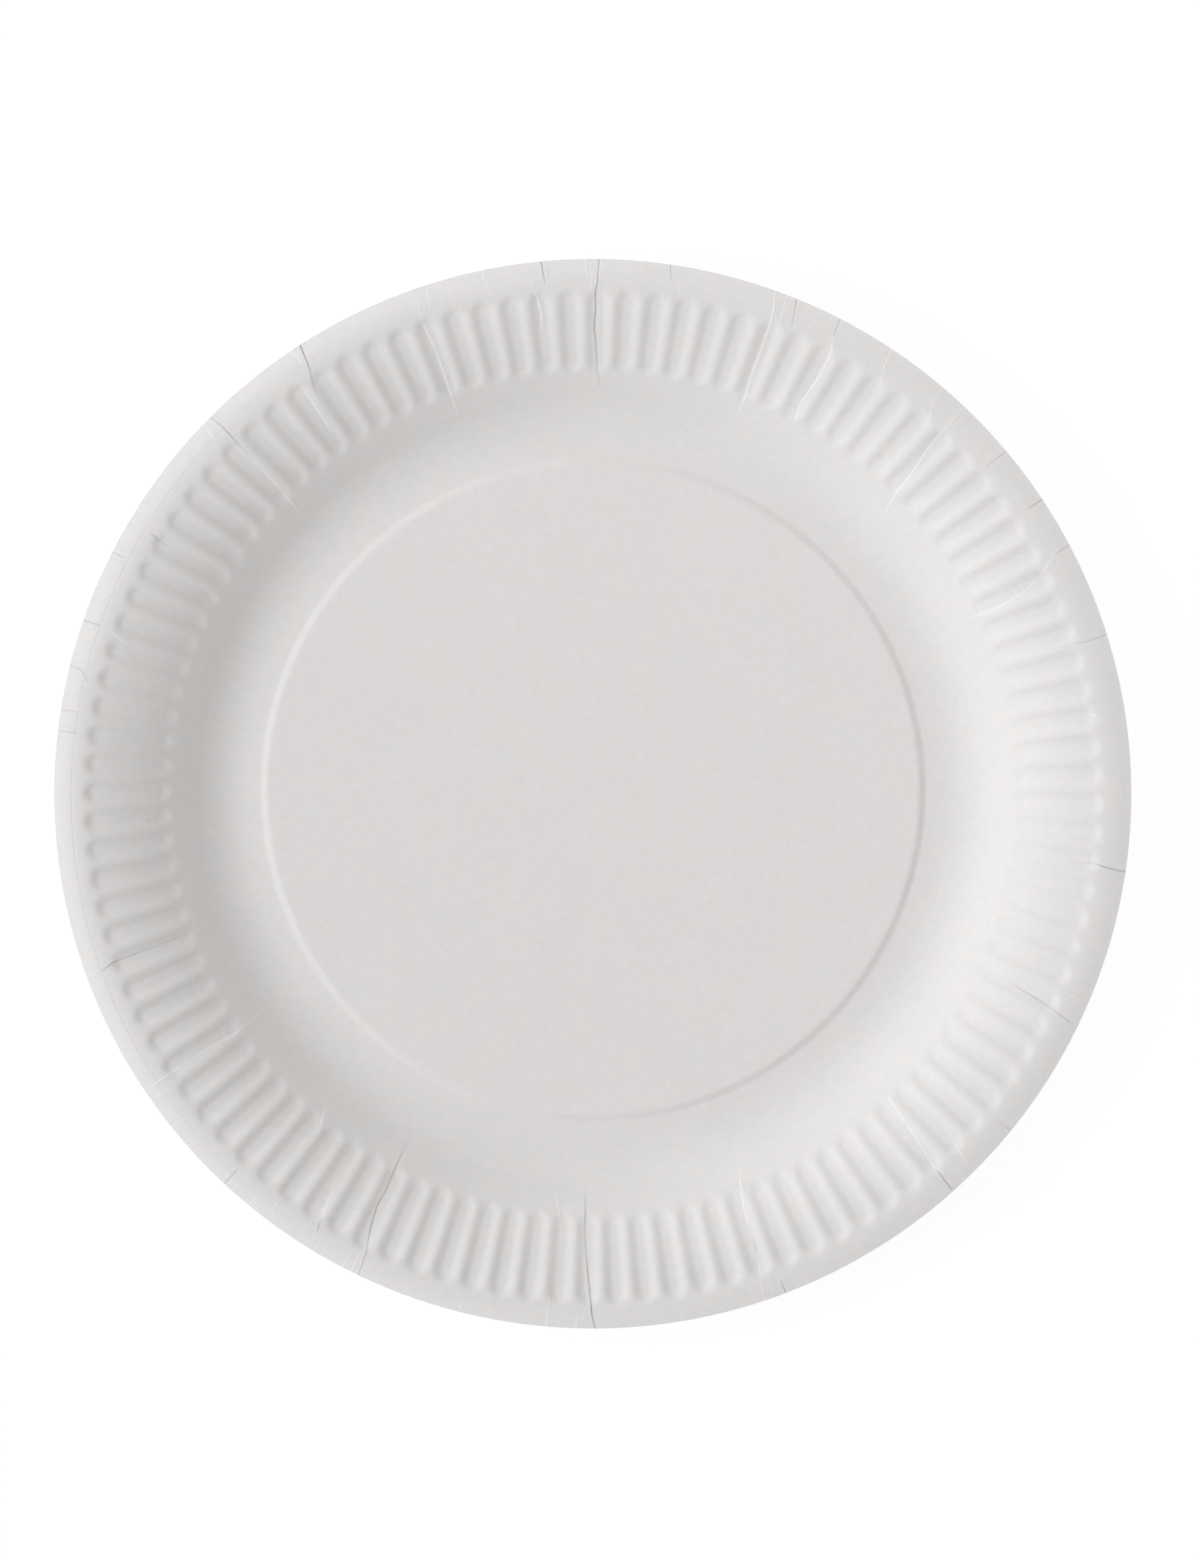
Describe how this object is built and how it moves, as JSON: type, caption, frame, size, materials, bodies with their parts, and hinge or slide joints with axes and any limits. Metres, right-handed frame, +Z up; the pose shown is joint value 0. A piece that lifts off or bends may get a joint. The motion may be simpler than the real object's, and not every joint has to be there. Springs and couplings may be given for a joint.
{
  "type": "paper plate",
  "caption": "Round shallow plate pressed from thin white board, with a flat floor, a curved wall ringed with radial flutes, and a turned-down lip.",
  "frame": {"origin": "centre of the foot ring, on the surface that the plate stands on", "axes": "+Z up along the plate's axis, +X and +Y in the plane of the foot ring; the first flute lies 2.7 degrees from +X"},
  "size_m": [0.23, 0.23, 0.0181],
  "materials": {
    "white_board": "uncoated matt, faint fibre mottle"
  },
  "bodies": {
    "root": {"paper_plate": "white_board"}
  },
  "joints": []
}
